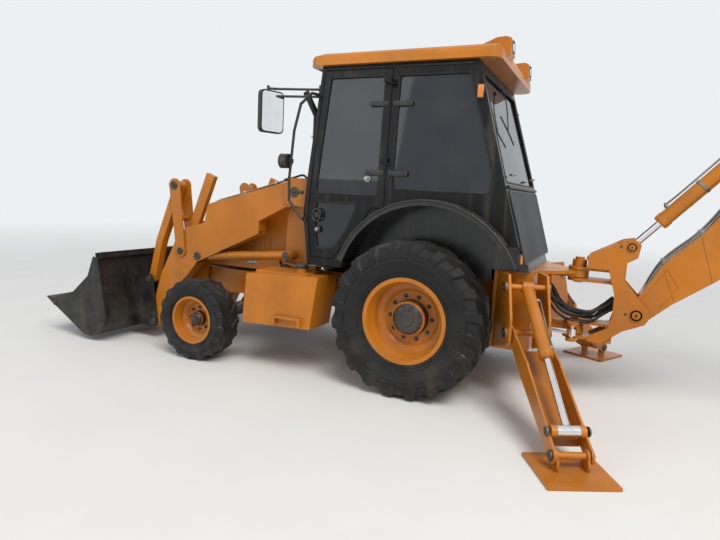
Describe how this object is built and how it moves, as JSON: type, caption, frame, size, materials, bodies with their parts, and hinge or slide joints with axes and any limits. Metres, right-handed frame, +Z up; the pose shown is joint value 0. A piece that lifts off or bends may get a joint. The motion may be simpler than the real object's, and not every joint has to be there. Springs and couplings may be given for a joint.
{
  "type": "backhoe loader",
  "caption": "Wheeled backhoe loader with a front loader bucket, an enclosed cab, a rear digging arm on a swinging kingpost and splayed stabiliser legs, parked with its legs down.",
  "frame": {"origin": "on the ground, midway along the length and on the middle plane of the machine", "axes": "+X towards the front and the loader bucket, +Y to the machine's left, +Z up"},
  "size_m": [8.4729, 3.9862, 3.3096],
  "materials": {
    "axle": "matt",
    "black_panel": "satin",
    "engine": "matt",
    "glass": "tinted",
    "grey": "worn satin",
    "lamp": "gloss",
    "mirror": "satin",
    "orange": "semi-gloss",
    "rod": "polished",
    "seat": "matt",
    "tyre": "matt"
  },
  "bodies": {
    "frame": {"chassis": "orange", "rear_frame": "orange", "swing_barrels": "grey", "engine": "engine", "front_axle": "axle", "rear_axle": "axle", "cab_shell": "black_panel", "cab_roof": "orange", "rear_fenders": "black_panel", "cab_glass": "glass", "seat_and_controls": "seat", "side_tanks": "orange", "mirrors": "mirror", "exhaust": "black_panel", "lamps": "lamp"},
    "rear_wheel_left": {"rear_tyre_left": "tyre", "rear_rim_left": "orange"},
    "rear_wheel_right": {"rear_tyre_right": "tyre", "rear_rim_right": "orange"},
    "knuckle_left": {"knuckle_left": "axle"},
    "front_wheel_left": {"front_tyre_left": "tyre", "front_rim_left": "orange"},
    "knuckle_right": {"knuckle_right": "axle"},
    "front_wheel_right": {"front_tyre_right": "tyre", "front_rim_right": "orange"},
    "door_left": {"door_left": "black_panel", "door_glass_left": "glass"},
    "door_right": {"door_right": "black_panel", "door_glass_right": "glass"},
    "bonnet": {"bonnet": "orange"},
    "loader_arms": {"loader_arms": "orange"},
    "tilt_levers": {"tilt_levers": "orange"},
    "tilt_links": {"tilt_links": "orange"},
    "loader_bucket": {"loader_bucket": "grey"},
    "lift_barrels": {"lift_barrels": "orange"},
    "lift_rods": {"lift_rods": "rod"},
    "tilt_barrels": {"tilt_barrels": "orange"},
    "tilt_rods": {"tilt_rods": "rod"},
    "kingpost": {"kingpost": "orange"},
    "boom": {"boom": "orange"},
    "dipper": {"dipper": "orange"},
    "tipping_lever": {"tipping_lever": "orange"},
    "tipping_link": {"tipping_link": "orange"},
    "hoe_bucket": {"hoe_bucket": "orange"},
    "boom_barrel": {"boom_barrel": "orange"},
    "boom_rod": {"boom_rod": "rod"},
    "dipper_barrel": {"dipper_barrel": "orange"},
    "dipper_rod": {"dipper_rod": "rod"},
    "bucket_barrel": {"bucket_barrel": "orange"},
    "bucket_rod": {"bucket_rod": "rod"},
    "swing_rod_left": {"swing_rod_left": "rod"},
    "swing_rod_right": {"swing_rod_right": "rod"},
    "leg_left": {"leg_left": "orange"},
    "pad_left": {"pad_left": "orange"},
    "leg_barrel_left": {"leg_barrel_left": "orange"},
    "leg_rod_left": {"leg_rod_left": "rod"},
    "leg_right": {"leg_right": "orange"},
    "pad_right": {"pad_right": "orange"},
    "leg_barrel_right": {"leg_barrel_right": "orange"},
    "leg_rod_right": {"leg_rod_right": "rod"}
  },
  "joints": [
    {"name": "rear_wheel_left_spin", "type": "hinge", "parent": "frame", "child": "rear_wheel_left", "pos_m": [-0.06017, 0.85, 0.7], "axis": [0, 1, 0], "continuous": true},
    {"name": "rear_wheel_right_spin", "type": "hinge", "parent": "frame", "child": "rear_wheel_right", "pos_m": [-0.06017, -0.85, 0.7], "axis": [0, 1, 0], "continuous": true},
    {"name": "steer_left", "type": "hinge", "parent": "frame", "child": "knuckle_left", "pos_m": [2.17983, 0.79, 0.415], "axis": [0, 0, 1], "range_deg": [-40, 40]},
    {"name": "front_wheel_left_spin", "type": "hinge", "parent": "knuckle_left", "child": "front_wheel_left", "pos_m": [2.17983, 0.99, 0.415], "axis": [0, 1, 0], "continuous": true},
    {"name": "steer_right", "type": "hinge", "parent": "frame", "child": "knuckle_right", "pos_m": [2.17983, -0.79, 0.415], "axis": [0, 0, 1], "range_deg": [-40, 40]},
    {"name": "front_wheel_right_spin", "type": "hinge", "parent": "knuckle_right", "child": "front_wheel_right", "pos_m": [2.17983, -0.99, 0.415], "axis": [0, 1, 0], "continuous": true},
    {"name": "door_left_hinge", "type": "hinge", "parent": "frame", "child": "door_left", "pos_m": [0.23983, 0.872, 2], "axis": [0, 0, 1], "range_deg": [0, 100]},
    {"name": "door_right_hinge", "type": "hinge", "parent": "frame", "child": "door_right", "pos_m": [0.23983, -0.872, 2], "axis": [0, 0, -1], "range_deg": [0, 100]},
    {"name": "bonnet_hinge", "type": "hinge", "parent": "frame", "child": "bonnet", "pos_m": [1.15483, 0, 1.6], "axis": [0, -1, 0], "range_deg": [0, 45]},
    {"name": "loader_lift", "type": "hinge", "parent": "frame", "child": "loader_arms", "pos_m": [1.24983, 0, 1.755], "axis": [0, -1, 0], "range_deg": [-1, 79]},
    {"name": "loader_bucket_tilt", "type": "hinge", "parent": "loader_arms", "child": "loader_bucket", "pos_m": [3.07983, 0, 0.2], "axis": [0, -1, 0], "range_deg": [-90, 8]},
    {"name": "tilt_levers_turn", "type": "hinge", "parent": "loader_arms", "child": "tilt_levers", "pos_m": [2.68183, 0, 1.051], "axis": [0, -1, 0], "range_deg": [-67.64, 6.47]},
    {"name": "tilt_links_turn", "type": "hinge", "parent": "tilt_levers", "child": "tilt_links", "pos_m": [2.77283, 0, 1.761], "axis": [0, -1, 0], "range_deg": [-5.79, 60.02]},
    {"name": "lift_barrels_turn", "type": "hinge", "parent": "frame", "child": "lift_barrels", "pos_m": [1.33983, 0, 1.115], "axis": [0, -1, 0], "range_deg": [-1.39, 71.14]},
    {"name": "lift_rods_slide", "type": "slide", "parent": "lift_barrels", "child": "lift_rods", "axis": [0.9959, 0, -0.0905], "range_m": [-0.0122, 0.8058]},
    {"name": "tilt_barrels_turn", "type": "hinge", "parent": "loader_arms", "child": "tilt_barrels", "pos_m": [1.83983, 0, 1.4], "axis": [0, -1, 0], "range_deg": [-6.97, 1.08]},
    {"name": "tilt_rods_slide", "type": "slide", "parent": "tilt_barrels", "child": "tilt_rods", "axis": [0.9934, 0, -0.1149], "range_m": [-0.0247, 0.2577]},
    {"name": "swing", "type": "hinge", "parent": "frame", "child": "kingpost", "pos_m": [-1.37017, 0, 0.9], "axis": [0, 0, 1], "range_deg": [-90, 90]},
    {"name": "swing_rod_left_slide", "type": "slide", "parent": "frame", "child": "swing_rod_left", "axis": [-1, 0, 0], "range_m": [-0.212, 0.212]},
    {"name": "swing_rod_right_slide", "type": "slide", "parent": "frame", "child": "swing_rod_right", "axis": [-1, 0, 0], "range_m": [-0.212, 0.212]},
    {"name": "boom_lower", "type": "hinge", "parent": "kingpost", "child": "boom", "pos_m": [-1.87517, 0, 0.845], "axis": [0, -1, 0], "range_deg": [-24, 81]},
    {"name": "boom_barrel_turn", "type": "hinge", "parent": "boom", "child": "boom_barrel", "pos_m": [-2.87604, 0, 2.6588], "axis": [0, 1, 0], "range_deg": [-0.79, 1.47]},
    {"name": "boom_rod_slide", "type": "slide", "parent": "boom_barrel", "child": "boom_rod", "axis": [0.6639, 0, -0.7478], "range_m": [-0.2307, 0.7739]},
    {"name": "dipper_swing", "type": "hinge", "parent": "boom", "child": "dipper", "pos_m": [-3.68823, 0, 2.72248], "axis": [0, 1, 0], "range_deg": [-28, 80]},
    {"name": "dipper_barrel_turn", "type": "hinge", "parent": "boom", "child": "dipper_barrel", "pos_m": [-2.71274, 0, 1.88508], "axis": [0, 1, 0], "range_deg": [-4.19, 11.04]},
    {"name": "dipper_rod_slide", "type": "slide", "parent": "dipper_barrel", "child": "dipper_rod", "axis": [-0.5623, 0, 0.8269], "range_m": [-0.5862, 0.2065]},
    {"name": "hoe_bucket_curl", "type": "hinge", "parent": "dipper", "child": "hoe_bucket", "pos_m": [-3.85547, 0, 1.13124], "axis": [0, -1, 0], "range_deg": [-45, 100]},
    {"name": "tipping_lever_turn", "type": "hinge", "parent": "dipper", "child": "tipping_lever", "pos_m": [-3.8372, 0, 1.40081], "axis": [0, 1, 0], "range_deg": [-72.28, 32.8]},
    {"name": "tipping_link_turn", "type": "hinge", "parent": "tipping_lever", "child": "tipping_link", "pos_m": [-4.19184, 0, 1.4627], "axis": [0, 1, 0], "range_deg": [-18.06, 39.52]},
    {"name": "bucket_barrel_turn", "type": "hinge", "parent": "dipper", "child": "bucket_barrel", "pos_m": [-3.90236, 0, 3.0768], "axis": [0, 1, 0], "range_deg": [-3.97, 2.06]},
    {"name": "bucket_rod_slide", "type": "slide", "parent": "bucket_barrel", "child": "bucket_rod", "axis": [-0.1765, 0, -0.9843], "range_m": [-0.1737, 0.3836]},
    {"name": "leg_left_turn", "type": "hinge", "parent": "frame", "child": "leg_left", "pos_m": [-1.06017, 0.79, 0.7], "axis": [0.8829, 0.4695, 0], "range_deg": [-5, 85]},
    {"name": "pad_left_turn", "type": "hinge", "parent": "leg_left", "child": "pad_left", "pos_m": [-1.52729, 1.66853, 0.12], "axis": [0.8829, 0.4695, 0], "range_deg": [-35, 20]},
    {"name": "leg_barrel_left_turn", "type": "hinge", "parent": "frame", "child": "leg_barrel_left", "pos_m": [-1.02261, 0.71936, 1.07], "axis": [0.8829, 0.4695, 0], "range_deg": [-4.96, 76.39]},
    {"name": "leg_rod_left_slide", "type": "slide", "parent": "leg_barrel_left", "child": "leg_rod_left", "axis": [-0.3616, 0.6801, -0.6377], "range_m": [-0.4871, 0.0305]},
    {"name": "leg_right_turn", "type": "hinge", "parent": "frame", "child": "leg_right", "pos_m": [-1.06017, -0.79, 0.7], "axis": [-0.8829, 0.4695, 0], "range_deg": [-5, 85]},
    {"name": "pad_right_turn", "type": "hinge", "parent": "leg_right", "child": "pad_right", "pos_m": [-1.52729, -1.66853, 0.12], "axis": [-0.8829, 0.4695, 0], "range_deg": [-35, 20]},
    {"name": "leg_barrel_right_turn", "type": "hinge", "parent": "frame", "child": "leg_barrel_right", "pos_m": [-1.02261, -0.71936, 1.07], "axis": [-0.8829, 0.4695, 0], "range_deg": [-4.96, 76.39]},
    {"name": "leg_rod_right_slide", "type": "slide", "parent": "leg_barrel_right", "child": "leg_rod_right", "axis": [-0.3616, -0.6801, -0.6377], "range_m": [-0.4871, 0.0305]}
  ],
  "couplings": [
    {"joint": "steer_right", "follows": "steer_left", "ratio": 1},
    {"joint": "tilt_levers_turn", "follows": "loader_bucket_tilt", "ratio": 0.746},
    {"joint": "tilt_links_turn", "follows": "loader_bucket_tilt", "ratio": -0.6613},
    {"joint": "lift_barrels_turn", "follows": "loader_lift", "ratio": 0.8942},
    {"joint": "lift_rods_slide", "follows": "loader_lift", "m_per_rad": 0.58296},
    {"joint": "tilt_barrels_turn", "follows": "loader_bucket_tilt", "ratio": 0.0719},
    {"joint": "tilt_rods_slide", "follows": "loader_bucket_tilt", "m_per_rad": -0.16277},
    {"joint": "swing_rod_left_slide", "follows": "swing", "m_per_rad": 0.1337},
    {"joint": "swing_rod_right_slide", "follows": "swing", "m_per_rad": -0.1337},
    {"joint": "boom_barrel_turn", "follows": "boom_lower", "ratio": 0.012},
    {"joint": "boom_rod_slide", "follows": "boom_lower", "m_per_rad": 0.546},
    {"joint": "dipper_barrel_turn", "follows": "dipper_swing", "ratio": 0.1317},
    {"joint": "dipper_rod_slide", "follows": "dipper_swing", "m_per_rad": -0.41837},
    {"joint": "tipping_lever_turn", "follows": "hoe_bucket_curl", "ratio": -0.7178},
    {"joint": "tipping_link_turn", "follows": "hoe_bucket_curl", "ratio": 0.3902},
    {"joint": "bucket_barrel_turn", "follows": "hoe_bucket_curl", "ratio": -0.0347},
    {"joint": "bucket_rod_slide", "follows": "hoe_bucket_curl", "m_per_rad": 0.21862},
    {"joint": "leg_barrel_left_turn", "follows": "leg_left_turn", "ratio": 0.8928},
    {"joint": "leg_rod_left_slide", "follows": "leg_left_turn", "m_per_rad": -0.32697},
    {"joint": "leg_barrel_right_turn", "follows": "leg_right_turn", "ratio": 0.8928},
    {"joint": "leg_rod_right_slide", "follows": "leg_right_turn", "m_per_rad": -0.32697}
  ]
}
